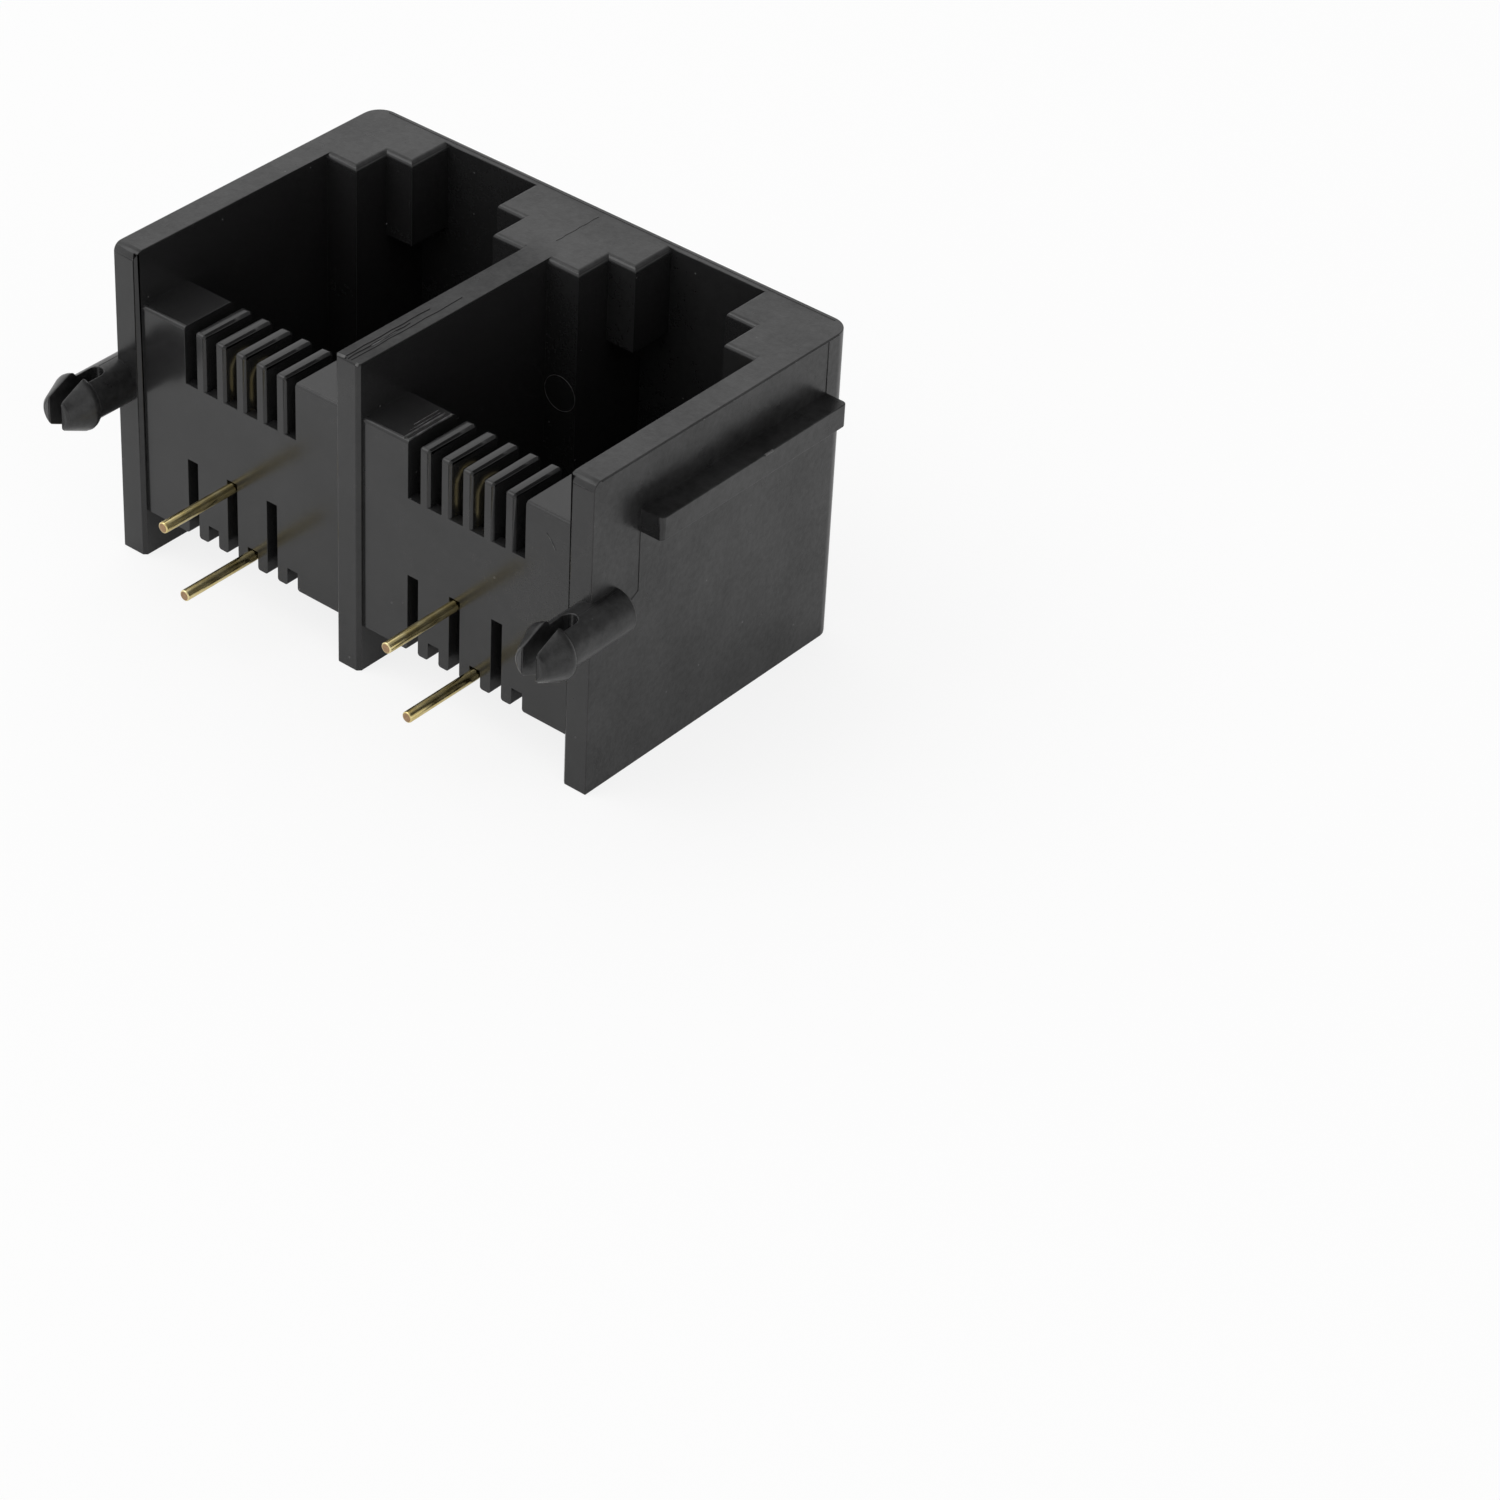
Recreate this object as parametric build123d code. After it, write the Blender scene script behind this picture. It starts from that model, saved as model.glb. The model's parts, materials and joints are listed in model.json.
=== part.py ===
from build123d import *
import os
from math import acos, cos, degrees, pi, radians, sin, sqrt, tan

# A two-port modular jack for a circuit board, six positions wide with two gold wires in each port.
# It stands on its back face, so both ports open upwards (+Z). The board lies against the -Y side,
# where the round solder tails and the two split pegs point, and the ports stand side by side along X.
# Everything is drawn with the board side of the walls at Y = 0 and moved to the middle at the end.

# Ports, seen along the way the plug goes in
port_width = 9.98
middle_wall = 1.18
end_wall = 1.14
standoff = 0.25
comb_depth = 2.62
plug_room = 7.33
latch_step = 1.70
finger_room = 2.06
back_skin = 0.37
shoulder_width = 1.53
latch_shoulder_width = 1.30

# Heights above the back face
body_height = 13.45
comb_drop = 2.33
comb_slot_depth = 2.45
block_lift = 1.98
floor_thickness = 1.20
latch_tooth_depth = 3.65
heel_height = 1.40

# Contact positions and wires
position_count = 6
loaded_count = 2
pitch = 1.02
wire_diameter = 0.45
wire_clearance = 0.032
wire_setback = 0.75
bend_lead = 0.06
tail_length = 3.64
upper_tail_height = 5.06
lower_tail_height = 2.50
fold_radius = 0.52
fold_lift = 1.03
free_angle = 33.0
free_length = 6.42
groove_depth = 1.15
groove_foot = 3.80

# Under the block and behind it
under_opening = 3.15
rear_web = 1.00

# End rails and board pegs
rail_reach = 1.00
rail_thickness = 0.98
rail_drop = 2.25
rail_front = 2.58
rail_back_gap = 1.35
peg_radius = 0.94
peg_height = 7.50
peg_length = 3.28
peg_root = 1.50
root_edge = 0.10
head_radius = 1.22
head_length = 1.45
head_back_bevel = 0.22
tip_radius = 0.72
split_width = 0.60
split_depth = 2.12

# Edges
back_corner_radius = 0.80
foot_radius = 0.60
mouth_corner_radius = 0.36
lead_in = 0.24
wall_edge = 0.14
rib_nose_radius = 0.26
rib_front_radius = 0.15
rib_bevel = 0.10
slot_edge_radius = 0.12
rail_corner_radius = 0.20
tip_round = 0.10

# Worked out from the values above
port_pitch = port_width + middle_wall
body_width = 2 * port_width + middle_wall + 2 * end_wall
comb_back = standoff + comb_depth
shoulder_y = comb_back + plug_room
latch_y = shoulder_y + latch_step
skin_y = latch_y + finger_room
body_depth = skin_y + back_skin
comb_top = body_height - comb_drop
slot_floor = comb_top - comb_slot_depth
slot_width = wire_diameter + 2 * wire_clearance
fold_height = slot_floor + fold_lift
wire_y = standoff + wire_setback
tunnel_front = wire_y - slot_width / 2
tunnel_back = wire_y + slot_width / 2
# the tail starts to bend just before the block and wraps round a rounded nose in it
tail_bend_radius = wire_setback + bend_lead
nose_radius = tail_bend_radius - slot_width / 2
nose_reach = sqrt(nose_radius ** 2 - bend_lead ** 2)
port_half = port_width / 2
latch_half = port_half - shoulder_width
finger_half = latch_half - latch_shoulder_width
port_centres = {"left": -port_pitch / 2, "right": port_pitch / 2}
positions = range(1, position_count + 1)
first_loaded = (position_count - loaded_count) // 2 + 1
loaded_positions = range(first_loaded, first_loaded + loaded_count)
position_x = {n: (n - (position_count + 1) / 2) * pitch for n in positions}
# odd positions have the upper tail row, even ones the lower
tail_height = {n: upper_tail_height if n % 2 else lower_tail_height for n in positions}
same_place = 0.001


def block(x0, x1, y0, y1, z0, z1):
    """A plain box between two corners."""
    return Pos(x0, y0, z0) * Box(x1 - x0, y1 - y0, z1 - z0, align=(Align.MIN, Align.MIN, Align.MIN))


def mirrored_outline(half):
    """A closed face on XY from its +X half, listed from the board side backwards."""
    return make_face(Polyline(*half, *[(-x, y) for x, y in reversed(half)], close=True))


def envelope():
    """The outer body: rounded back corners in plan, a rounded foot in side view."""
    plan = Pos(0, body_depth / 2) * Rectangle(body_width, body_depth)
    plan = fillet(plan.vertices().group_by(Axis.Y)[-1], back_corner_radius)
    side = Plane.YZ * (Pos(body_depth / 2, body_height / 2) * Rectangle(body_depth, body_height))
    side = fillet(side.vertices().group_by(Axis.Z)[0].sort_by(Axis.Y)[-1], foot_radius)
    return extrude(plan, body_height) & extrude(side, body_width / 2, both=True)


def port_bay():
    """The space of one port: open to the board side, stepped twice for the plug's latch."""
    mouth = mirrored_outline([
        (port_half + wall_edge, 0), (port_half, wall_edge), (port_half, shoulder_y),
        (latch_half, shoulder_y), (latch_half, latch_y), (finger_half, latch_y), (finger_half, skin_y)])
    front = mirrored_outline([
        (port_half + wall_edge, 0), (port_half, wall_edge), (port_half, under_opening)])
    bay = Pos(0, 0, floor_thickness) * extrude(mouth, body_height - floor_thickness)
    bay += extrude(front, body_height)
    # behind the short upper teeth the latch springs out sideways
    bay += block(-latch_half, latch_half, latch_y, skin_y, floor_thickness, body_height - latch_tooth_depth)
    return bay


def comb_section():
    """The comb seen from the side, its nose rounded towards the plug."""
    middle = Pos(standoff + comb_depth / 2, (slot_floor + comb_top) / 2)
    side = middle * Rectangle(comb_depth, comb_top - slot_floor)
    top = side.vertices().group_by(Axis.Y)[-1].sort_by(Axis.X)
    side = fillet(top[-1], rib_nose_radius)
    top = side.vertices().group_by(Axis.Y)[-1].sort_by(Axis.X)
    return Plane.YZ * fillet(top[0], rib_front_radius)


def is_rim(edge):
    """True for the edges along a comb rib's ridge, nose and front, but not for those at its foot."""
    middle = edge.center()
    return middle.Z > slot_floor + same_place and abs(middle.X) > same_place


def slot_top(n):
    """Where position n's tail slot ends on the block's face."""
    return tail_height[n] + tail_bend_radius - nose_reach


def block_face():
    """The block's front part, from the board side to the back of the wire tunnels, with the tail slots."""
    face = Pos(0, (block_lift + slot_floor) / 2) * Rectangle(port_width, slot_floor - block_lift)
    for n in positions:
        slot_middle = Pos(position_x[n], (block_lift + slot_top(n)) / 2)
        face -= slot_middle * Rectangle(slot_width, slot_top(n) - block_lift)
    ends = [v for v in face.vertices().group_by(Axis.Y)[0] if abs(v.X) < port_half - slot_edge_radius]
    face = fillet(ends, slot_edge_radius)
    return Pos(0, tunnel_back, 0) * extrude(Plane.XZ * face, tunnel_back - standoff)


def bend_room(n):
    """The rounded way from position n's tail slot up into its tunnel."""
    start = (standoff, slot_top(n))
    end = (tunnel_front, tail_height[n] + tail_bend_radius)
    angle = degrees(acos(bend_lead / nose_radius))
    outline = CenterArc((standoff - bend_lead, end[1]), nose_radius, -angle, angle)
    outline += Polyline(end, (tunnel_front, start[1]), start)
    return Pos(position_x[n], 0, 0) * extrude(Plane.YZ * make_face(outline), slot_width / 2, both=True)


def contact_block():
    """The comb, the block below it and the heel that joins them to the rear web."""
    web_back = under_opening + rear_web
    heel_top = block_lift + heel_height
    body = block_face()
    body += block(-port_half, port_half, tunnel_back, comb_back, block_lift, slot_floor)
    body += block(-port_half, port_half, comb_back, web_back, block_lift, heel_top)
    body += block(-port_half, port_half, under_opening, web_back, 0, heel_top)
    comb_half = position_x[position_count] + slot_width / 2
    cheek = extrude(comb_section(), port_half - comb_half)
    body += Pos(comb_half, 0, 0) * cheek
    body += Pos(-port_half, 0, 0) * cheek
    rib = extrude(comb_section(), (pitch - slot_width) / 2, both=True)
    rib = chamfer(rib.edges().filter_by(is_rim), rib_bevel)
    for n in positions[:-1]:
        body += Pos(position_x[n] + pitch / 2, 0, 0) * rib
    for n in positions:
        left = position_x[n] - slot_width / 2
        right = position_x[n] + slot_width / 2
        body -= block(left, right, tunnel_front, tunnel_back, block_lift, slot_floor)
        body -= block(left, right, comb_back - groove_depth, comb_back, groove_foot, slot_floor)
        body -= bend_room(n)
    return body


def rail():
    """The ledge on the X+ end wall, rounded at its outer corners."""
    root = body_width / 2 - end_wall / 2
    back = body_depth - rail_back_gap
    plan = Pos((root + body_width / 2 + rail_reach) / 2, (rail_front + back) / 2) * Rectangle(
        body_width / 2 + rail_reach - root, back - rail_front)
    plan = fillet(plan.vertices().group_by(Axis.X)[-1], rail_corner_radius)
    return Pos(0, 0, body_height - rail_drop - rail_thickness) * extrude(plan, rail_thickness)


def peg():
    """A split snap peg along Y with a barbed head, half sunk in the X+ end wall."""
    shoulder_at = -peg_length + head_length
    outline = Line((0, peg_root), (0, -peg_length))
    outline += Line((0, -peg_length), (tip_radius - tip_round, -peg_length))
    outline += Line((tip_radius - tip_round, -peg_length), (tip_radius, -peg_length + tip_round))
    outline += Line((tip_radius, -peg_length + tip_round), (head_radius, shoulder_at - head_back_bevel))
    outline += Line((head_radius, shoulder_at - head_back_bevel), (peg_radius, shoulder_at))
    outline += Line((peg_radius, shoulder_at), (peg_radius, peg_root - root_edge))
    outline += Line((peg_radius, peg_root - root_edge), (peg_radius - root_edge, peg_root))
    outline += Line((peg_radius - root_edge, peg_root), (0, peg_root))
    solid = revolve(make_face(outline), Axis.Y)
    split_end = -peg_length + split_depth
    solid -= block(-split_width / 2, split_width / 2, -2 * peg_length, split_end,
                   -2 * head_radius, 2 * head_radius)
    solid -= Pos(0, split_end, 0) * Cylinder(split_width / 2, 4 * head_radius)
    return Pos(body_width / 2, 0, peg_height) * solid


def is_step_edge(edge):
    """True for the mouth edges of a port's latch steps, which carry the rounded lead-in."""
    middle = edge.center()
    if abs(middle.Z - body_height) > same_place:
        return False
    x = abs(abs(middle.X) - port_pitch / 2)
    faces_board = any(abs(middle.Y - y) < same_place for y in (shoulder_y, latch_y))
    faces_side = any(abs(x - half) < same_place for half in (latch_half, finger_half))
    return (faces_board and x < port_half) or (faces_side and shoulder_y < middle.Y < skin_y)


def housing():
    """The one-piece moulded housing with both combs, the end rails and the board pegs."""
    body = envelope()
    for centre in port_centres.values():
        body -= Pos(centre, 0, 0) * port_bay()
    body = fillet(body.edges().filter_by(is_step_edge), lead_in)
    wall_tops = body.edges().filter_by(Axis.X).filter_by(
        lambda e: abs(e.center().Y) < same_place and abs(e.center().Z - body_height) < same_place
        and abs(e.center().X) > port_pitch / 2)
    body = fillet(wall_tops, mouth_corner_radius)
    for centre in port_centres.values():
        body += Pos(centre, 0, 0) * contact_block()
    ends = rail() + peg()
    return body + ends + mirror(ends, Plane.YZ)


def bend(start, leaving, radius, turn):
    """A cubic curve that follows a circular bend, as it meshes with fewer facets than an arc.

    Angles are measured on the side view, anticlockwise from +Y; a negative turn is clockwise.
    """
    arriving = leaving + turn
    swing = radius if turn > 0 else -radius
    end = (start[0] + swing * (sin(arriving) - sin(leaving)), start[1] - swing * (cos(arriving) - cos(leaving)))
    handle = 4 / 3 * tan(abs(turn) / 4) * radius
    first = (start[0] + handle * cos(leaving), start[1] + handle * sin(leaving))
    second = (end[0] - handle * cos(arriving), end[1] - handle * sin(arriving))
    return Bezier(start, first, second, end)


def contact(tail_z):
    """One round wire: solder tail, bend, riser behind the block's face, fold, free spring end."""
    slope = radians(free_angle)
    tip = (standoff - tail_length, tail_z)
    tail_end = (standoff - bend_lead, tail_z)
    riser_start = (wire_y, tail_z + tail_bend_radius)
    riser_end = (wire_y, fold_height)
    fold_end = (wire_y + fold_radius + fold_radius * cos(slope), fold_height + fold_radius * sin(slope))
    free_end = (fold_end[0] + free_length * sin(slope), fold_end[1] - free_length * cos(slope))
    path = Line(tip, tail_end)
    path += bend(tail_end, 0, tail_bend_radius, pi / 2)
    path += Line(riser_start, riser_end)
    path += bend(riser_end, pi / 2, fold_radius, slope - pi)
    path += Line(fold_end, free_end)
    section = Plane((0, tip[0], tip[1]), z_dir=(0, 1, 0)) * Circle(wire_diameter / 2)
    wire = sweep(section, Plane.YZ * path)
    return chamfer(wire.edges().group_by(Axis.Y)[0], wire_diameter / 8)


os.makedirs("parts", exist_ok=True)
to_middle = Pos(0, -body_depth / 2, 0)
export_step(to_middle * housing(), "parts/housing.step")
for side, centre in port_centres.items():
    for n in loaded_positions:
        wire = Pos(centre + position_x[n], 0, 0) * contact(tail_height[n])
        export_step(to_middle * wire, f"parts/{side}_port_contact_{n}.step")
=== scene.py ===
import json
from math import cos, pi, radians, sin, tan

import bmesh
import bpy
from mathutils import Matrix, Vector


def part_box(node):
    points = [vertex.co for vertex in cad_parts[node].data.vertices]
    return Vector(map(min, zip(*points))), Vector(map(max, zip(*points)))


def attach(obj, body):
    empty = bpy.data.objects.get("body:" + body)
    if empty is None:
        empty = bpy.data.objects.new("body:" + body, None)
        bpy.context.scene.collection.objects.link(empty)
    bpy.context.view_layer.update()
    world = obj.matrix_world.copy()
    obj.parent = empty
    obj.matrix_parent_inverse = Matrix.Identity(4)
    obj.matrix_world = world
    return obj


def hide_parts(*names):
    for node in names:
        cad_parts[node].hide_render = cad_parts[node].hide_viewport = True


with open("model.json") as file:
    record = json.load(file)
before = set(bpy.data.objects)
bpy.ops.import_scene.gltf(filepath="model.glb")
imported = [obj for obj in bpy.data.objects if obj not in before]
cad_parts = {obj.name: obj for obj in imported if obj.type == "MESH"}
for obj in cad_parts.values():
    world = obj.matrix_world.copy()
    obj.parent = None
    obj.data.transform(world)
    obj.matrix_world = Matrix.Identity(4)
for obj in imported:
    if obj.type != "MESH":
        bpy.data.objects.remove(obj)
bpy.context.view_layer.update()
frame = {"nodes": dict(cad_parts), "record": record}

# Lengths below are in millimetres and angles in degrees, unless a comment says otherwise
MM = 0.001

# Camera: where it stands, which way it looks back from the jack, its roll, lens, sensor and reach
CAMERA_PLACE = (101.395, -114.757, 106.514)
CAMERA_AZIMUTH = 37.418
CAMERA_ELEVATION = 36.63
CAMERA_ROLL = 3.258
CAMERA_LENS = 116.91
CAMERA_SENSOR = 36
CAMERA_NEAR = 10
CAMERA_FAR = 20000

# Housing: facets that are merged into whole flats, and what counts as a sharp edge
FACET_MERGE = 0.0008
FLAT_ANGLE = 0.6
FLAT_WEIGHT = 90
SHARP_ANGLE = 32

# Housing: the round of its outer edges, of those in the ports and of its inner corners
EDGE_ROUNDING = 0.035
INNER_ROUNDING = 0.015
CORNER_ROUNDING = 0.004
ROUNDING_STEPS = 3
# The largest share of a narrow face that the round of one edge takes
FACET_SHARE = 0.38

# Board pegs: the shaft's radius and how far facets stray from it, its root, its head and their edges
PEG_RADIUS = 0.94
PEG_SKIN = 0.02
PEG_ROOT = 1.60
PEG_HEAD = 1.60
PEG_ROUNDING = 0.055
# The barb's rim lies this far from the peg's tip, and is rounded most
BARB_SETBACK = 1.23
BARB_ROUNDING = 0.22

# Where the ports lie: in from the plain side and the board side, and the share of the width they span
PORT_INSET = 0.45
PORT_SPAN = 0.9
# A face looks a way when its normal has at least this share of it
FACING = 0.7

# Plastic: how matt the polished and the grained faces are, and how far patches move that
PLASTIC_IOR = 1.46
POLISHED = 0.18
GRAINED = 0.31
PATCH_LOW = -0.045
PATCH_HIGH = 0.055
# How grained the board side is, where 1 is fully grained
BOARD_GRAIN = 0.1
# The share of the grain's shade and of its finest bumps that is left on polished faces
POLISHED_CONTRAST = 0.25
POLISHED_BUMPS = 0.06
# How far the sheen follows the shade, up and down
SHEEN_SPREAD = 0.10

# Plastic: its two shades, the range of the patterns' sum between them, and the flecks of dust on it
DARK_SHADE = (0.0085, 0.0085, 0.0087, 1)
PALE_SHADE = (0.0270, 0.0270, 0.0274, 1)
SHADE_RANGE = (0.68, 1.12)
SPECKLE_SHARE = 0.8
DUST_SHADE = (0.10, 0.10, 0.10, 1)
DUST_CELLS = 950.0
DUST_CORE = 0.02
DUST_RIM = 0.045

# Plastic: each pattern's scale per metre, its detail and its roughness
CLOUDS = (350.0, 5.0, 0.62)
SPECKLES = (3600.0, 4.0, 0.7)
PATCHES = (1400.0, 6.0, 0.7)
WAVES = (450.0, 2.0, 0.5)
MOTTLE = (4200.0, 4.0, 0.65)
FINE_GRAIN = (14000.0, 3.0, 0.6)
WAVE_DEPTH = 0.005
MOTTLE_DEPTH = 0.0075
GRAIN_DEPTH = 0.0020

# The dull strip on the middle wall's top: half its width, how it fades out on each side, its sheen
DULL_WALL = 0.60
DULL_FADE = 0.10
DULL_FULL = 2.4
DULL_END = 4.2
DULL_DEPTHS = (0.10, 0.02)
FULL_SHEEN = 0.5
DULL_SHEEN = 0.24

# Stretched or torn plastic
TORN_DARK = (0.02, 0.02, 0.02, 1)
TORN_PALE = (0.13, 0.13, 0.13, 1)
TORN_ROUGHNESS = 0.45
TORN_GRAIN = (3000.0, 3.0, 0.6)

# Gold and the bronze core under it: two shades each, how blurred, and the patterns on them
GOLD_DEEP = (0.66, 0.52, 0.20, 1)
GOLD_BRIGHT = (0.88, 0.77, 0.44, 1)
GOLD_BLURS = (0.09, 0.24)
GOLD_CLOUDS = (1500.0, 4.0, 0.6)
DRAWN_MARKS = (6000.0, 3.0, 0.6)
DRAWN_DEPTH = 0.004
DRAWN_STRENGTH = 0.25
CORE_DARK = (0.20, 0.11, 0.06, 1)
CORE_BRIGHT = (0.56, 0.38, 0.22, 1)
CORE_ROUGHNESS = 0.38
SHEAR_MARKS = (9000.0, 3.0, 0.6)

# Flash: a bead along each parting line, uneven, and never thinner than a least share of its radius
LINE_STEP = 0.06
LINE_SIDES = 8
LEAST_BEAD = 0.08
FLASH_RADIUS = 0.028
BEAD_CHANGES = (1900.0, 3.0, 0.7)
BEAD_RANGE = (0.38, 0.62)

# Where the parting lines run on the housing's outside
WALL_SIDE = 11.71
LINE_DROP = 0.05
BACK_LINE_INSET = 0.16
BACK_LINE_END = 0.7
MOUTH_LINE_START = 0.4
MOUTH_LINE_END = 0.8
SIDE_LINE_Y = 5.805
FRONT_LINE_Y = -4.575
FRONT_LINE_FOOT = 7.70
FRONT_LINE_TURN = (0.45, 0.25)
RAIL_TOP = 11.20
RAIL_FOOT = 10.22

# The ridges on the middle wall's top: x, start and stop from the board side, and radius
RIDGE_LINES = (
    (-0.19, 0.12, 4.6, 0.026),
    (-0.03, 0.12, 3.4, 0.026),
    (0.15, 0.12, 6.0, 0.022),
    (-0.02, 11.4, 13.8, 0.015),
)
RIDGE_BENDS = 9
RIDGE_SWAY = 0.02
RIDGE_WAVE = 2.3
RIDGE_SHIFT = 1.9

# The burrs on the right port's comb: distance from the cheek's edge, start, stop and radius
CHEEK_BURRS = (
    (0.03, 0.3, 2.6, 0.045),
    (0.26, 0.3, 2.5, 0.045),
    (0.42, 0.8, 2.4, 0.02),
    (0.58, 1.2, 2.5, 0.02),
)
COMB_TOP = 11.12
RIGHT_CHEEK_EDGE = 2.77
# Where the two nubs on the right mouth's rim lie along y
MOUTH_NUBS = (0.3, -1.35)

# Marks on the middle wall's top: name, corners as x, in from the board side and down, radius, least share
WALL_MARKS = (
    ("middle_wall_nub", ((-0.46, 0.06, 0), (-0.12, 0.1, 0)), 0.06, 0.2),
    ("middle_corner_nub", ((0.45, 0.03, 0), (0.55, 0.05, 0.02)), 0.06, 0.3),
    ("middle_wall_streak", ((0.02, 1.3, 0), (0.02, 2.6, 0)), 0.024, -0.3),
)
# The burr on the right rail: in from the rail's side, start and stop along y, and down from its top
RAIL_BURR = (0.22, 1.05, 1.5, 0.01)
# The pale fleck on a step of the left port's keyway
KEYWAY_FLECK = ((-9.16, 4.735, 10.35), (-9.04, 4.735, 10.25))
# The scratch down the right block: x and z of its corners, and how far in from the board side
BLOCK_SCRATCH = ((9.37, 10.24), (9.60, 10.02), (9.80, 9.70))
SCRATCH_INSET = 0.25
# The faint ring of an ejector pin in the right port, with its axis along y
RING_CENTRE = (1.35, 3.035, 7.9)
RING_RADIUS = 0.75
RING_CORNERS = 36

# Contacts: one round wire each, bent twice, with softly sheared tips
RISER_Y = -6.165
TAIL_BEND = 0.81
FOLD_RADIUS = 0.52
FREE_SLOPE = 33
FREE_LENGTH = 6.42
WIRE_SIDES = 32
BEND_STEPS = 12
TIP_ROUNDING = 0.045
TIP_STEPS = 3
TIP_CREASE = 50

# Studio: a white floor, whose shadow is kept to a share, and which metal sees as partly white
FLOOR_SIZE = 3000
FLOOR_SHADE = (0.96, 0.96, 0.96, 1)
SHADOW_SHARE = 0.16
REFLECTED_WHITE = 0.25
# The soft lamp: its place, its width, and its power in watts
LAMP_PLACE = (-180, -160, 300)
LAMP_WIDTH = 250
LAMP_POWER = 0.25
# The room, and its dim sides: direction, the core's and the rim's angle, and the share of light left
WORLD_STRENGTH = 1.07
DIM_SIDES = (
    ((0.43, 0.62, 0.65), 22, 52, 0.305),
    ((0.54, -0.62, 0.57), 10, 34, 0.30),
)

# The housing's box, with the height of its mouths and half the depth of its walls in millimetres
low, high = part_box("housing")
top = high.z / MM
wall = high.y / MM
mounts = {mount["name"]: Vector(mount["pos_m"]) for mount in frame["record"]["mounts"]}
pegs = [place for name, place in mounts.items() if name.endswith("_peg")]
tails = {name: place for name, place in mounts.items() if "_tail_" in name}


def add_node(tree, kind, **inputs):
    """A node of that kind, with its named input sockets set."""
    node = tree.nodes.new(kind)
    for key, value in inputs.items():
        name = key.replace("_", " ").lower()
        socket = next(s for s in node.inputs if s.name.lower() == name and s.enabled)
        socket.default_value = value
    return node


def wire_up(tree, *pairs):
    """Links output sockets to input sockets, given as (from, to) pairs."""
    for source, target in pairs:
        tree.links.new(source, target)


def noise_at(tree, place, scale, detail, roughness):
    """A noise pattern read at the given coordinates."""
    noise = add_node(tree, "ShaderNodeTexNoise", Scale=scale, Detail=detail, Roughness=roughness)
    tree.links.new(place, noise.inputs["Vector"])
    return noise.outputs["Fac"]


def remapped(tree, value, from_low, from_high, to_low, to_high):
    """The value moved from one range to another, and held there."""
    node = add_node(tree, "ShaderNodeMapRange",
                    From_Min=from_low, From_Max=from_high, To_Min=to_low, To_Max=to_high)
    tree.links.new(value, node.inputs["Value"])
    return node.outputs["Result"]


def combined(tree, operation, first, second):
    """The two values, each a socket or a number, joined by that operation."""
    node = tree.nodes.new("ShaderNodeMath")
    node.operation = operation
    for socket, value in zip(node.inputs, (first, second)):
        if isinstance(value, (int, float)):
            socket.default_value = value
        else:
            tree.links.new(value, socket)
    return node.outputs["Value"]


def bumped(tree, height, depth, under=None, strength=1.0):
    """A bump of that depth in millimetres, laid over another one."""
    bump = add_node(tree, "ShaderNodeBump", Strength=strength, Distance=depth * MM)
    tree.links.new(height, bump.inputs["Height"])
    if under:
        tree.links.new(under, bump.inputs["Normal"])
    return bump.outputs["Normal"]


def shaded(tree, value, dark, pale, start=0.0, stop=1.0):
    """The colour between a dark and a pale one, for a value between start and stop."""
    ramp = tree.nodes.new("ShaderNodeValToRGB")
    first, last = ramp.color_ramp.elements
    first.position, first.color = start, dark
    last.position, last.color = stop, pale
    tree.links.new(value, ramp.inputs["Fac"])
    return ramp.outputs["Color"]


def new_finish(name):
    """A new material, with its node tree and its surface shader."""
    material = bpy.data.materials.new(name)
    material.use_nodes = True
    tree = material.node_tree
    return material, tree, tree.nodes["Principled BSDF"]


def place_on_piece(tree):
    """The place of each point in the piece's own coordinates."""
    return tree.nodes.new("ShaderNodeTexCoord").outputs["Object"]


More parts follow.
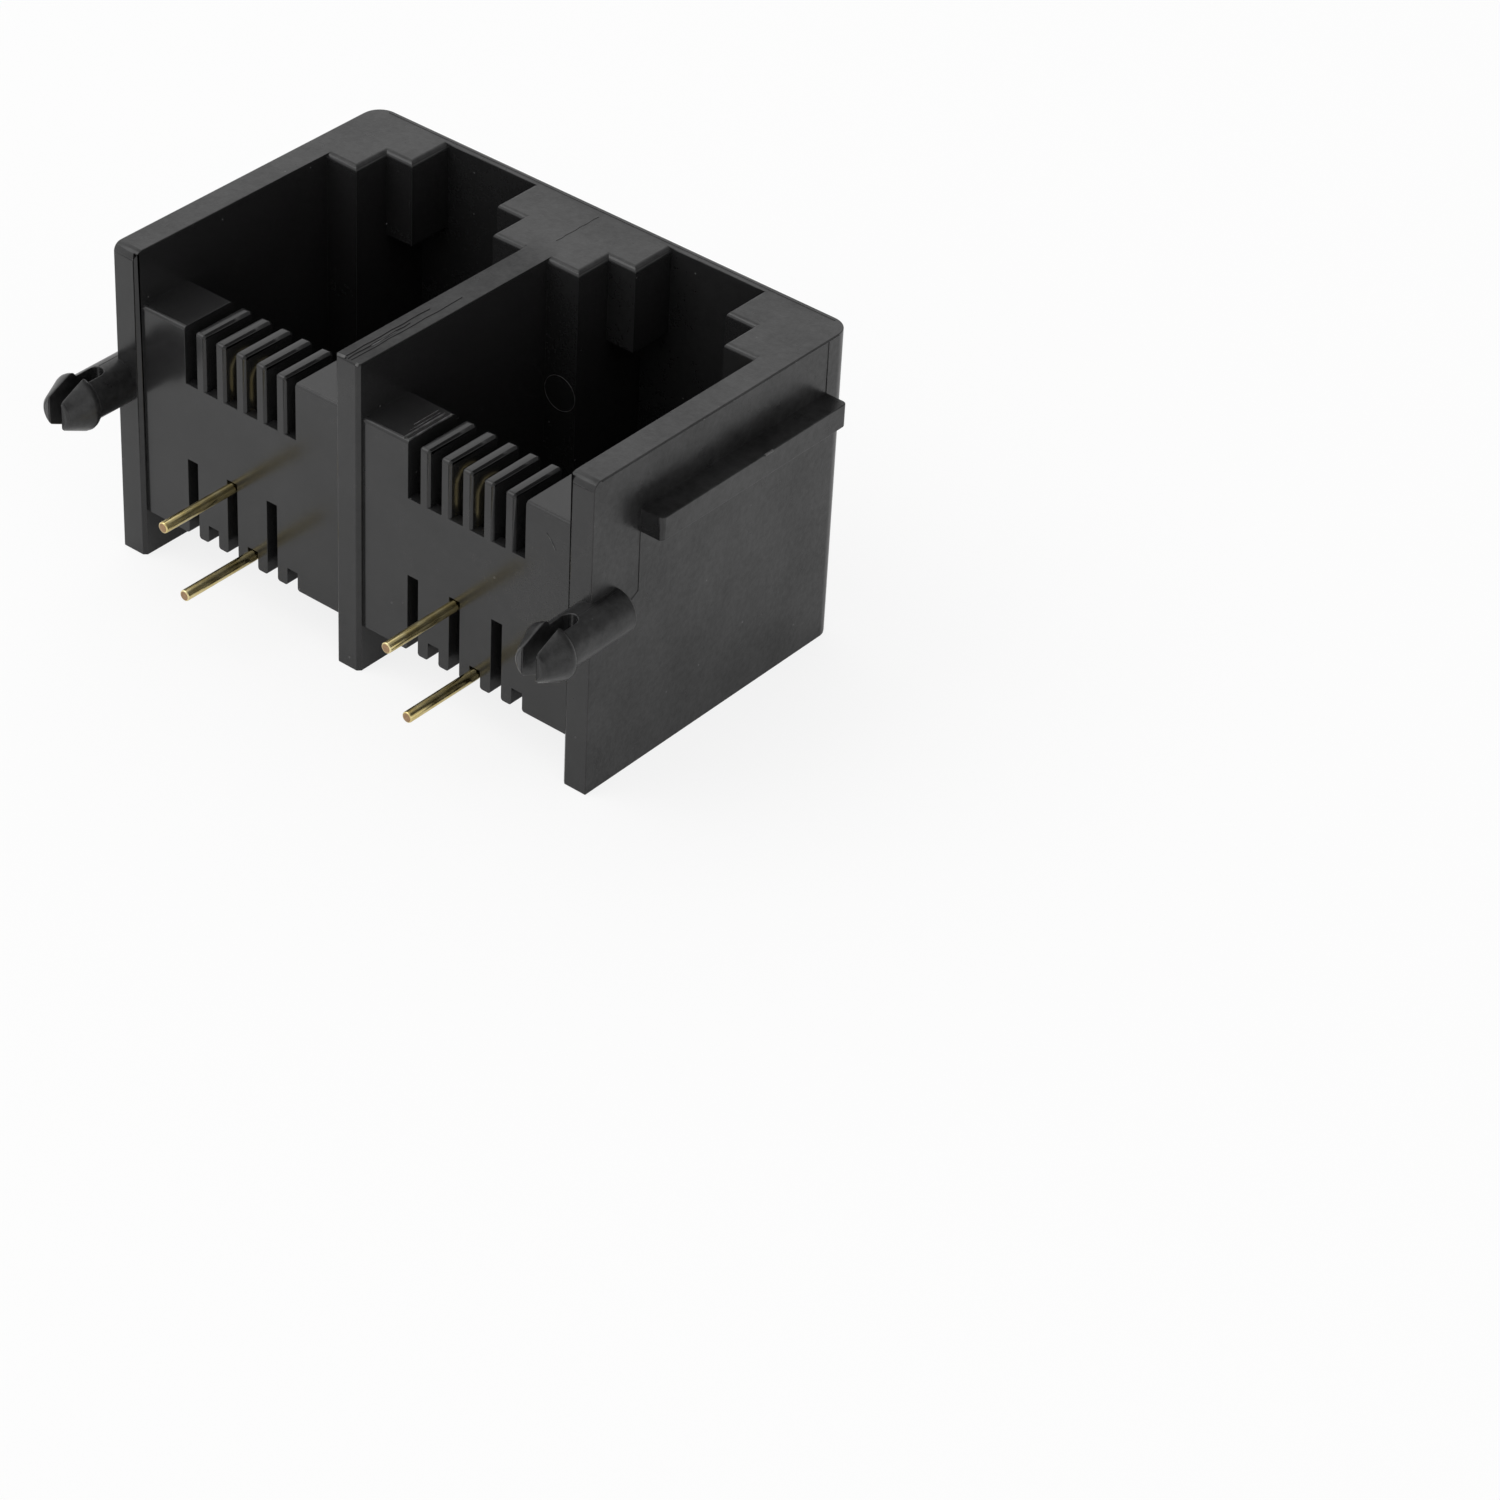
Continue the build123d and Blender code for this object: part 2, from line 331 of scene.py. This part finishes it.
def black_plastic():
    """Black moulded polyester: nearly black, polished or grained by face, with flow clouds and dust."""
    material, tree, shader = new_finish("housing_plastic")
    place = place_on_piece(tree)
    shader.inputs["IOR"].default_value = PLASTIC_IOR
    attribute = tree.nodes.new("ShaderNodeAttribute")
    attribute.attribute_name = "grained"
    grained = attribute.outputs["Fac"]
    contrast = remapped(tree, grained, 0.0, 1.0, POLISHED_CONTRAST, 1.0)

    clouds = noise_at(tree, place, *CLOUDS)
    speckle = combined(tree, "MULTIPLY", noise_at(tree, place, *SPECKLES), SPECKLE_SHARE)
    shade = remapped(tree, combined(tree, "ADD", clouds, speckle), *SHADE_RANGE, -0.5, 0.5)
    shade = combined(tree, "ADD", combined(tree, "MULTIPLY", shade, contrast), 0.5)
    cells = add_node(tree, "ShaderNodeTexVoronoi", Scale=DUST_CELLS, Randomness=1.0)
    dust = remapped(tree, cells.outputs["Distance"], DUST_CORE, DUST_RIM, 1.0, 0.0)
    dusted = tree.nodes.new("ShaderNodeMix")
    dusted.data_type = "RGBA"
    dusted.inputs["B"].default_value = DUST_SHADE
    wire_up(tree,
            (place, cells.inputs["Vector"]),
            (dust, dusted.inputs["Factor"]),
            (shaded(tree, shade, DARK_SHADE, PALE_SHADE), dusted.inputs["A"]),
            (dusted.outputs["Result"], shader.inputs["Base Color"]))

    patches = remapped(tree, noise_at(tree, place, *PATCHES), 0.3, 0.7, PATCH_LOW, PATCH_HIGH)
    patches = combined(tree, "MULTIPLY", patches, contrast)
    base = remapped(tree, grained, 0.0, 1.0, POLISHED, GRAINED)
    tree.links.new(combined(tree, "ADD", base, patches), shader.inputs["Roughness"])

    part = tree.nodes.new("ShaderNodeSeparateXYZ")
    tree.links.new(place, part.inputs["Vector"])
    aside = combined(tree, "ABSOLUTE", part.outputs["X"], 0.0)
    narrow = remapped(tree, aside, (DULL_WALL + DULL_FADE) * MM, DULL_WALL * MM, 0.0, 1.0)
    deep, shallow = (high.z - depth * MM for depth in DULL_DEPTHS)
    raised = remapped(tree, part.outputs["Z"], deep, shallow, 0.0, 1.0)
    ridged = remapped(tree, part.outputs["Y"], DULL_END * MM, DULL_FULL * MM, 0.0, 1.0)
    worn = combined(tree, "MULTIPLY", combined(tree, "MULTIPLY", narrow, raised), ridged)
    sheen = remapped(tree, worn, 0.0, 1.0, FULL_SHEEN, DULL_SHEEN)
    uneven = remapped(tree, shade, 0.0, 1.0, 1 - SHEEN_SPREAD, 1 + SHEEN_SPREAD)
    tree.links.new(combined(tree, "MULTIPLY", sheen, uneven), shader.inputs["Specular IOR Level"])

    bumps = remapped(tree, grained, 0.0, 1.0, POLISHED_BUMPS, 1.0)
    waves = bumped(tree, noise_at(tree, place, *WAVES), WAVE_DEPTH)
    mottle = combined(tree, "MULTIPLY", noise_at(tree, place, *MOTTLE), bumps)
    mottled = bumped(tree, mottle, MOTTLE_DEPTH, waves)
    fine = combined(tree, "MULTIPLY", noise_at(tree, place, *FINE_GRAIN), bumps)
    tree.links.new(bumped(tree, fine, GRAIN_DEPTH, mottled), shader.inputs["Normal"])
    return material


def whitened_plastic():
    """Plastic that was stretched or torn as the mould opened, which leaves it grey."""
    material, tree, shader = new_finish("whitened_plastic")
    place = place_on_piece(tree)
    shader.inputs["Roughness"].default_value = TORN_ROUGHNESS
    torn = noise_at(tree, place, *TORN_GRAIN)
    tree.links.new(shaded(tree, torn, TORN_DARK, TORN_PALE, 0.35, 0.65), shader.inputs["Base Color"])
    return material


def gold_plate():
    """Thin gold on drawn wire: bright warm metal, slightly uneven, with faint marks from drawing."""
    material, tree, shader = new_finish("gold_plate")
    place = place_on_piece(tree)
    shader.inputs["Metallic"].default_value = 1.0
    uneven = noise_at(tree, place, *GOLD_CLOUDS)
    marks = noise_at(tree, place, *DRAWN_MARKS)
    wire_up(tree,
            (shaded(tree, uneven, GOLD_DEEP, GOLD_BRIGHT, 0.3, 0.7), shader.inputs["Base Color"]),
            (remapped(tree, uneven, 0.0, 1.0, *GOLD_BLURS), shader.inputs["Roughness"]),
            (bumped(tree, marks, DRAWN_DEPTH, strength=DRAWN_STRENGTH), shader.inputs["Normal"]))
    return material


def bare_cut():
    """The sheared end of a wire, where the bronze core shows."""
    material, tree, shader = new_finish("bare_cut")
    place = place_on_piece(tree)
    shader.inputs["Metallic"].default_value = 1.0
    shader.inputs["Roughness"].default_value = CORE_ROUGHNESS
    shear = noise_at(tree, place, *SHEAR_MARKS)
    tree.links.new(shaded(tree, shear, CORE_DARK, CORE_BRIGHT), shader.inputs["Base Color"])
    return material


def placed(name, data):
    """A new object of that mesh, lamp or camera, in the scene."""
    made = bpy.data.objects.new(name, data)
    bpy.context.scene.collection.objects.link(made)
    return made


def evaluated(piece, name):
    """A plain mesh object of what the piece's modifiers make, in the piece's stead."""
    graph = bpy.context.evaluated_depsgraph_get()
    mesh = bpy.data.meshes.new_from_object(piece.evaluated_get(graph), depsgraph=graph)
    bpy.data.objects.remove(piece)
    mesh.name = name
    return placed(name, mesh)


def edge_rounding(edge):
    """How round a sharp edge of the moulding is: most on the pegs, least inside the ports."""
    middle = (edge.verts[0].co + edge.verts[1].co) / 2
    between_walls = abs(middle.x) < WALL_SIDE * MM and middle.y > -high.y
    inside = between_walls and 0 < middle.z < high.z - EDGE_ROUNDING * MM
    if all(abs(vert.co.y - low.y - BARB_SETBACK * MM) < PEG_SKIN * MM for vert in edge.verts):
        return BARB_ROUNDING
    if middle.y < -high.y - EDGE_ROUNDING * MM:
        return PEG_ROUNDING
    rounding = INNER_ROUNDING if inside else EDGE_ROUNDING
    narrowest = min(face.calc_area() for face in edge.link_faces) / edge.calc_length() / MM
    return min(rounding, FACET_SHARE * narrowest)


def grain(face):
    """How grained the mould left a face: least in the ports, a little on the board side, else fully."""
    middle = face.calc_center_median()
    between_sides = abs(middle.y) < high.y - PORT_INSET * MM
    inside = between_sides and abs(middle.x) < high.x * PORT_SPAN and middle.z > 0
    below_mouth = middle.z < (COMB_TOP + EDGE_ROUNDING) * MM
    if face.normal.y < -FACING:
        return BOARD_GRAIN if middle.y < 0 else 0.0
    return 0.0 if inside and (face.normal.z < FACING or below_mouth) else 1.0


def finished_housing(plastic):
    """The housing with its flats made whole again and a small round on every sharp edge."""
    work = bmesh.new()
    work.from_mesh(frame["nodes"]["housing"].data)
    bmesh.ops.remove_doubles(work, verts=work.verts, dist=FACET_MERGE * MM)
    bmesh.ops.dissolve_limit(work, verts=work.verts, edges=work.edges, angle_limit=radians(FLAT_ANGLE))
    weight = work.edges.layers.float.new("bevel_weight_edge")
    for edge in work.edges:
        if edge.calc_face_angle(0) > radians(SHARP_ANGLE):
            rounding = edge_rounding(edge) if edge.is_convex else CORNER_ROUNDING
            edge[weight] = rounding / BARB_ROUNDING
    grained = work.faces.layers.float.new("grained")
    for face in work.faces:
        face[grained] = grain(face)
        face.smooth = True
        face.material_index = 0
    mesh = bpy.data.meshes.new("moulded_housing")
    work.to_mesh(mesh)
    work.free()
    mesh.materials.clear()
    mesh.materials.append(plastic)
    moulding = placed("moulding", mesh)
    edges = moulding.modifiers.new("edges", "BEVEL")
    edges.width = BARB_ROUNDING * MM
    edges.segments = ROUNDING_STEPS
    edges.limit_method = "WEIGHT"
    edges.use_clamp_overlap = False
    edges.miter_outer = "MITER_ARC"
    flats = moulding.modifiers.new("flats", "WEIGHTED_NORMAL")
    flats.keep_sharp = True
    flats.weight = FLAT_WEIGHT
    piece = evaluated(moulding, "moulded_housing")
    round_shafts(piece.data)
    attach(piece, "root")
    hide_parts("housing")


def round_shafts(mesh):
    """Gives the facets of the pegs' shafts the normals of true cylinders."""
    normals = [Vector(corner.vector) for corner in mesh.corner_normals]
    for face in mesh.polygons:
        if face.center.y > -high.y + PEG_ROOT * MM or face.center.y < low.y + PEG_HEAD * MM:
            continue
        for corner in face.loop_indices:
            point = mesh.vertices[mesh.loops[corner].vertex_index].co
            for peg in pegs:
                arm = Vector((point.x - peg.x, 0, point.z - peg.z))
                on_shaft = abs(arm.length - PEG_RADIUS * MM) < PEG_SKIN * MM
                if on_shaft and arm.normalized().dot(face.normal) > cos(radians(SHARP_ANGLE) / 2):
                    normals[corner] = arm.normalized()
    mesh.normals_split_custom_set(normals)


def new_sweep_tree(name, *sizes):
    """A node tree from a line of corners to a mesh, with its sizes and finish as named inputs."""
    tree = bpy.data.node_groups.new(name, "GeometryNodeTree")
    face = tree.interface
    face.new_socket("Geometry", in_out="INPUT", socket_type="NodeSocketGeometry")
    for size in sizes:
        face.new_socket(size, in_out="INPUT", socket_type="NodeSocketFloat")
    face.new_socket("Material", in_out="INPUT", socket_type="NodeSocketMaterial")
    face.new_socket("Geometry", in_out="OUTPUT", socket_type="NodeSocketGeometry")
    start = tree.nodes.new("NodeGroupInput")
    end = tree.nodes.new("NodeGroupOutput")
    line = tree.nodes.new("GeometryNodeMeshToCurve")
    tree.links.new(start.outputs["Geometry"], line.inputs["Mesh"])
    return tree, start, end, line.outputs["Curve"]


def sweep_round(tree, curve, radius, sides):
    """The mesh of a round section swept along a curve, with closed ends."""
    section = tree.nodes.new("GeometryNodeCurvePrimitiveCircle")
    section.inputs["Resolution"].default_value = sides
    sweep = tree.nodes.new("GeometryNodeCurveToMesh")
    sweep.inputs["Fill Caps"].default_value = True
    wire_up(tree,
            (radius, section.inputs["Radius"]),
            (curve, sweep.inputs["Curve"]),
            (section.outputs["Curve"], sweep.inputs["Profile Curve"]))
    return sweep.outputs["Mesh"]


def finish_tree(tree, mesh, start, end):
    """Ends a tree with a plain mesh in the finish that its input names."""
    realize = tree.nodes.new("GeometryNodeRealizeInstances")
    paint = tree.nodes.new("GeometryNodeSetMaterial")
    wire_up(tree,
            (mesh, realize.inputs["Geometry"]),
            (realize.outputs["Geometry"], paint.inputs["Geometry"]),
            (start.outputs["Material"], paint.inputs["Material"]),
            (paint.outputs["Geometry"], end.inputs["Geometry"]))


def flash_tree():
    """The tree that makes a line of corners a thin uneven bead of plastic along a parting line."""
    tree, start, end, curve = new_sweep_tree("flash_line", "Bead Radius", "Step", "Least Share")
    steps = tree.nodes.new("GeometryNodeResampleCurve")
    steps.mode = "LENGTH"
    scale, detail, roughness = BEAD_CHANGES
    changes = add_node(tree, "ShaderNodeTexNoise", Scale=scale, Detail=detail, Roughness=roughness)
    least, most = BEAD_RANGE
    share = add_node(tree, "ShaderNodeMapRange", From_Min=least, From_Max=most, To_Max=1.0)
    thickness = tree.nodes.new("GeometryNodeSetCurveRadius")
    smooth = tree.nodes.new("GeometryNodeSetShadeSmooth")
    wire_up(tree,
            (curve, steps.inputs["Curve"]),
            (start.outputs["Step"], steps.inputs["Length"]),
            (steps.outputs["Curve"], thickness.inputs["Curve"]),
            (changes.outputs["Fac"], share.inputs["Value"]),
            (start.outputs["Least Share"], share.inputs["To Min"]),
            (combined(tree, "MAXIMUM", share.outputs["Result"], LEAST_BEAD), thickness.inputs["Radius"]))
    bead = sweep_round(tree, thickness.outputs["Curve"], start.outputs["Bead Radius"], LINE_SIDES)
    tree.links.new(bead, smooth.inputs["Geometry"])
    finish_tree(tree, smooth.outputs["Geometry"], start, end)
    return tree


def bent_wire_tree():
    """The tree that makes a line of corners a round wire with a bend at each corner."""
    tree, start, end, curve = new_sweep_tree("bent_wire", "Wire Radius")
    bend = tree.nodes.new("GeometryNodeInputNamedAttribute")
    bend.inputs["Name"].default_value = "bend_radius"
    fillet = tree.nodes.new("GeometryNodeFilletCurve")
    fillet.mode = "POLY"
    fillet.inputs["Count"].default_value = BEND_STEPS
    wire_up(tree,
            (curve, fillet.inputs["Curve"]),
            (bend.outputs["Attribute"], fillet.inputs["Radius"]))
    wire = sweep_round(tree, fillet.outputs["Curve"], start.outputs["Wire Radius"], WIRE_SIDES)
    finish_tree(tree, wire, start, end)
    return tree


def set_input(modifier, name, value):
    """Sets a modifier's named input by the socket's identifier."""
    sockets = modifier.node_group.interface.items_tree
    identifier = next(s.identifier for s in sockets if s.name == name and s.in_out == "INPUT")
    modifier[identifier] = value


def swept(name, mesh, tree, sizes, finish):
    """The plain mesh piece that a tree makes along the mesh's line, from sizes in metres."""
    line = placed(name + "_line", mesh)
    modifier = line.modifiers.new("sweep", "NODES")
    modifier.node_group = tree
    for size, value in sizes.items():
        set_input(modifier, size, value)
    set_input(modifier, "Material", finish)
    return evaluated(line, name)


def flash_line(name, corners, tree, finish, radius=FLASH_RADIUS, least=0.3):
    """A bead of flash through the given corners, in millimetres."""
    mesh = bpy.data.meshes.new(name)
    steps = [(i, i + 1) for i in range(len(corners) - 1)]
    mesh.from_pydata([Vector(corner) * MM for corner in corners], steps, [])
    sizes = {"Bead Radius": radius * MM, "Step": LINE_STEP * MM, "Least Share": least}
    piece = swept(name, mesh, tree, sizes, finish)
    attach(piece, "root")


def parting_lines(tree, plastic):
    """The fine lines that the mould's halves and slides left on the housing."""
    for number, (x, start, stop, radius) in enumerate(RIDGE_LINES):
        ridge = []
        for step in range(RIDGE_BENDS + 1):
            sway = RIDGE_SWAY * sin(RIDGE_WAVE * step + RIDGE_SHIFT * number)
            ridge.append((x + sway, -wall + start + step / RIDGE_BENDS * (stop - start), top))
        flash_line(f"middle_wall_line_{number}", ridge, tree, plastic, radius=radius, least=-0.5)
    back = wall - BACK_LINE_INSET
    back_edge = [(BACK_LINE_END - WALL_SIDE, back, top), (WALL_SIDE - BACK_LINE_END, back, top)]
    flash_line("back_edge_line", back_edge, tree, plastic)
    below = top - LINE_DROP
    turn_y, turn_z = FRONT_LINE_TURN
    for end, hand in (("left", -1), ("right", 1)):
        x = hand * WALL_SIDE
        mouth = [(x, -wall + MOUTH_LINE_START, below), (x, wall - MOUTH_LINE_END, below)]
        slide = [(x, SIDE_LINE_Y, below), (x, SIDE_LINE_Y, RAIL_TOP)]
        rail = [
            (x, FRONT_LINE_Y, RAIL_FOOT),
            (x, FRONT_LINE_Y, FRONT_LINE_FOOT),
            (x, FRONT_LINE_Y - turn_y, FRONT_LINE_FOOT - turn_z),
        ]
        flash_line(end + "_mouth_line", mouth, tree, plastic, least=0)
        flash_line(end + "_slide_line", slide, tree, plastic)
        flash_line(end + "_rail_line", rail, tree, plastic)


def mould_marks(tree, whitened):
    """The burrs, nubs, scratches and ejector ring that the mould left in and round the ports."""
    for number, (inset, start, stop, radius) in enumerate(CHEEK_BURRS):
        x = RIGHT_CHEEK_EDGE - inset
        burr = [(x, start - wall, COMB_TOP), (x, stop - wall, COMB_TOP)]
        flash_line(f"cheek_burr_{number}", burr, tree, whitened, radius=radius, least=0.1)
    for number, y in enumerate(MOUTH_NUBS):
        nub = [(WALL_SIDE, y, top - 0.06), (WALL_SIDE, y + 0.1, top - 0.07)]
        flash_line(f"mouth_nub_{number}", nub, tree, whitened, radius=0.035, least=0.4)
    inset, start, stop, drop = RAIL_BURR
    edge = high.x / MM - inset
    burr = [(edge, start, RAIL_TOP - drop), (edge, stop, RAIL_TOP - drop)]
    flash_line("rail_burr", burr, tree, whitened, radius=0.05, least=0.1)
    for name, corners, radius, least in WALL_MARKS:
        mark = [(x, -wall + inset, top - drop) for x, inset, drop in corners]
        flash_line(name, mark, tree, whitened, radius=radius, least=least)
    flash_line("keyway_fleck", KEYWAY_FLECK, tree, whitened, radius=0.05, least=0.5)
    scratch = [(x, -wall + SCRATCH_INSET, z) for x, z in BLOCK_SCRATCH]
    flash_line("block_scratch", scratch, tree, whitened, radius=0.02, least=0)
    turns = [2 * pi * step / RING_CORNERS for step in range(RING_CORNERS + 1)]
    x, y, z = RING_CENTRE
    ring = [(x + RING_RADIUS * cos(turn), y, z + RING_RADIUS * sin(turn)) for turn in turns]
    flash_line("ejector_ring", ring, tree, whitened, radius=0.013, least=-2.4)


def contact(node, tail, tree, gold, cut):
    """One gold contact wire in its port, from the solder tail to the free spring end."""
    lowest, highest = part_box(node)
    radius = (highest.x - lowest.x) / 2
    riser = RISER_Y * MM
    fold = FOLD_RADIUS * MM
    slope = radians(FREE_SLOPE)
    fold_y = riser + fold
    fold_z = highest.z - radius - fold
    corner_rise = fold * tan((pi - slope) / 2)
    free_start = Vector((tail.x, fold_y + fold * cos(slope), fold_z + fold * sin(slope)))
    free_end = free_start + FREE_LENGTH * MM * Vector((0, sin(slope), -cos(slope)))
    corners = [
        Vector((tail.x, lowest.y, tail.z)),
        Vector((tail.x, riser, tail.z)),
        Vector((tail.x, riser, fold_z + corner_rise)),
        free_end,
    ]
    mesh = bpy.data.meshes.new(node + "_line")
    mesh.from_pydata(corners, [(0, 1), (1, 2), (2, 3)], [])
    bends = mesh.attributes.new("bend_radius", "FLOAT", "POINT")
    bends.data.foreach_set("value", [0, TAIL_BEND * MM, fold, 0])
    piece = swept(node.replace("contact", "wire"), mesh, tree, {"Wire Radius": radius}, gold)
    piece.data.materials.clear()
    piece.data.materials.append(gold)
    piece.data.materials.append(cut)
    round_tips(piece.data)
    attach(piece, "root")
    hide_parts(node)


def round_tips(mesh):
    """Rounds the rims of a wire's two cut ends and gives the cut faces their own finish."""
    work = bmesh.new()
    work.from_mesh(mesh)
    caps = [face for face in work.faces if len(face.verts) > 4]
    rims = [edge for edge in work.edges if any(face in caps for face in edge.link_faces)]
    bmesh.ops.bevel(work, geom=rims, offset=TIP_ROUNDING * MM, segments=TIP_STEPS, profile=0.5,
                    affect="EDGES")
    for face in work.faces:
        face.smooth = True
        face.material_index = 1 if len(face.verts) > 4 else 0
    bmesh.ops.recalc_face_normals(work, faces=work.faces)
    work.to_mesh(mesh)
    work.free()
    mesh.set_sharp_from_angle(angle=radians(TIP_CREASE))


def studio_floor():
    """A plain white floor under the jack."""
    half = FLOOR_SIZE * MM / 2
    corners = [(-half, -half, 0), (half, -half, 0), (half, half, 0), (-half, half, 0)]
    mesh = bpy.data.meshes.new("floor")
    mesh.from_pydata(corners, [], [(0, 1, 2, 3)])
    floor = placed("floor", mesh)
    material, tree, shader = new_finish("white_card")
    shader.inputs["Base Color"].default_value = FLOOR_SHADE
    shader.inputs["Roughness"].default_value = 0.9
    shader.inputs["Specular IOR Level"].default_value = 0.1
    seen = tree.nodes.new("ShaderNodeLightPath")
    mirrored = combined(tree, "MAXIMUM", seen.outputs["Is Glossy Ray"], seen.outputs["Is Transmission Ray"])
    mirrored = combined(tree, "MULTIPLY", mirrored, REFLECTED_WHITE)
    direct = combined(tree, "MULTIPLY", seen.outputs["Is Camera Ray"], 1 - SHADOW_SHARE)
    white = add_node(tree, "ShaderNodeEmission", Color=(1, 1, 1, 1), Strength=1.0)
    mix = tree.nodes.new("ShaderNodeMixShader")
    wire_up(tree,
            (combined(tree, "MAXIMUM", direct, mirrored), mix.inputs["Fac"]),
            (shader.outputs["BSDF"], mix.inputs[1]),
            (white.outputs["Emission"], mix.inputs[2]),
            (mix.outputs["Shader"], tree.nodes["Material Output"].inputs["Surface"]))
    mesh.materials.append(material)


def studio_light():
    """A white room all round, dimmer on two sides, and one large soft lamp high on the left."""
    world = bpy.data.worlds.new("white_room")
    bpy.context.scene.world = world
    world.use_nodes = True
    tree = world.node_tree
    background = tree.nodes["Background"]
    background.inputs["Color"].default_value = (1, 1, 1, 1)
    way = tree.nodes.new("ShaderNodeTexCoord")
    strength = WORLD_STRENGTH
    for side, core, rim, share in DIM_SIDES:
        facing = tree.nodes.new("ShaderNodeVectorMath")
        facing.operation = "DOT_PRODUCT"
        facing.inputs[1].default_value = Vector(side).normalized()
        fall = add_node(tree, "ShaderNodeMapRange", From_Min=cos(radians(rim)), From_Max=cos(radians(core)),
                        To_Min=1.0, To_Max=share)
        fall.interpolation_type = "SMOOTHSTEP"
        wire_up(tree,
                (way.outputs["Generated"], facing.inputs[0]),
                (facing.outputs["Value"], fall.inputs["Value"]))
        strength = combined(tree, "MULTIPLY", fall.outputs["Result"], strength)
    tree.links.new(strength, background.inputs["Strength"])
    lamp = bpy.data.lights.new("soft_key", "AREA")
    lamp.shape = "DISK"
    lamp.size = LAMP_WIDTH * MM
    lamp.energy = LAMP_POWER
    key = placed("soft_key", lamp)
    key.location = Vector(LAMP_PLACE) * MM
    key.rotation_euler = (-key.location).to_track_quat("-Z", "Y").to_euler()


def studio_camera():
    """The camera, which looks down on the jack from the board side's right, with a small roll."""
    azimuth, elevation, roll = (radians(a) for a in (CAMERA_AZIMUTH, CAMERA_ELEVATION, CAMERA_ROLL))
    back = Vector((sin(azimuth) * cos(elevation), -cos(azimuth) * cos(elevation), sin(elevation)))
    level = Vector((cos(azimuth), sin(azimuth), 0))
    upright = back.cross(level)
    right = cos(roll) * level + sin(roll) * upright
    up = back.cross(right)
    data = bpy.data.cameras.new("camera")
    data.lens = CAMERA_LENS
    data.sensor_width = CAMERA_SENSOR
    data.clip_start = CAMERA_NEAR * MM
    data.clip_end = CAMERA_FAR * MM
    camera = placed("camera", data)
    turn = Matrix((right, up, back)).transposed().to_4x4()
    camera.matrix_world = Matrix.Translation(Vector(CAMERA_PLACE) * MM) @ turn
    bpy.context.scene.camera = camera


plastic = black_plastic()
finished_housing(plastic)
bead_tree = flash_tree()
parting_lines(bead_tree, plastic)
mould_marks(bead_tree, whitened_plastic())
gold = gold_plate()
cut = bare_cut()
wire_tree = bent_wire_tree()
for name, tail in tails.items():
    contact(name.replace("_tail_", "_port_contact_"), tail, wire_tree, gold, cut)
studio_floor()
studio_light()
studio_camera()
bpy.context.scene.view_settings.view_transform = "Standard"
